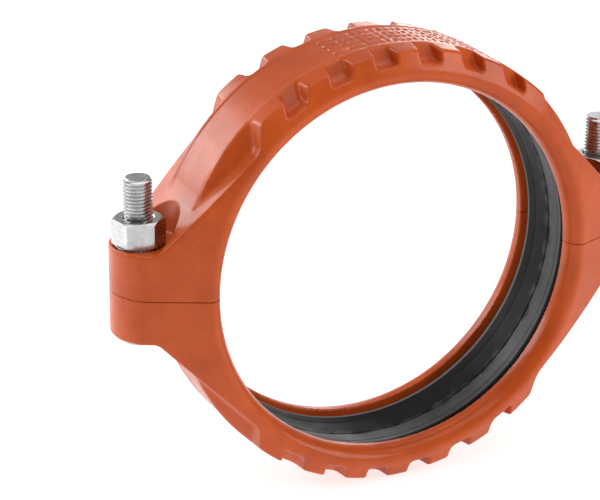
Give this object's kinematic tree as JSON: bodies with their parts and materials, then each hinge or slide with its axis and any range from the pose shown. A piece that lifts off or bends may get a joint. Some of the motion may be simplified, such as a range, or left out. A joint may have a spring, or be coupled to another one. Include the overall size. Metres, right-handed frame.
{
  "type": "grooved pipe coupling",
  "caption": "Rigid two-segment coupling that clamps the ends of two grooved steel pipes over a sealing ring, closed by track bolts with heavy hex nuts.",
  "frame": {"origin": "on the pipe's axis, midway along the coupling, in the plane where the two halves meet", "axes": "+Y along the pipe, +Z along the bolts towards the nuts, +X towards a bolt pad"},
  "size_m": [0.509, 0.118, 0.41],
  "materials": {
    "orange_enamel": "glossy orange enamel over a cast surface",
    "black_rubber": "smooth moulded EPDM, slightly glossy",
    "zinc_steel": "bright zinc plating"
  },
  "bodies": {
    "lower_half": {"lower_housing": "orange_enamel", "bolt_left": "zinc_steel", "bolt_right": "zinc_steel"},
    "upper_half": {"upper_housing": "orange_enamel", "washer_left": "zinc_steel", "washer_right": "zinc_steel"},
    "gasket_ring": {"gasket": "black_rubber"},
    "left_nut": {"nut_left": "zinc_steel"},
    "right_nut": {"nut_right": "zinc_steel"}
  },
  "joints": [
    {"name": "upper_lift", "type": "slide", "parent": "lower_half", "child": "upper_half", "axis": [0, 0, 1], "range_m": [0, 0.036]},
    {"name": "gasket_lift", "type": "slide", "parent": "lower_half", "child": "gasket_ring", "axis": [0, 0, 1], "range_m": [0, 0.018]},
    {"name": "left_nut_turn", "type": "hinge", "parent": "upper_half", "child": "left_nut", "pos_m": [-0.229, 0, 0.0537], "axis": [0, 0, 1], "range_deg": [0, 4082]},
    {"name": "right_nut_turn", "type": "hinge", "parent": "upper_half", "child": "right_nut", "pos_m": [0.229, 0, 0.0537], "axis": [0, 0, 1], "range_deg": [0, 4082]}
  ],
  "couplings": [
    {"joint": "gasket_lift", "follows": "upper_lift", "ratio": 0.5},
    {"joint": "left_nut_turn", "follows": "upper_lift", "rad_per_m": 1979},
    {"joint": "right_nut_turn", "follows": "upper_lift", "rad_per_m": 1979}
  ]
}
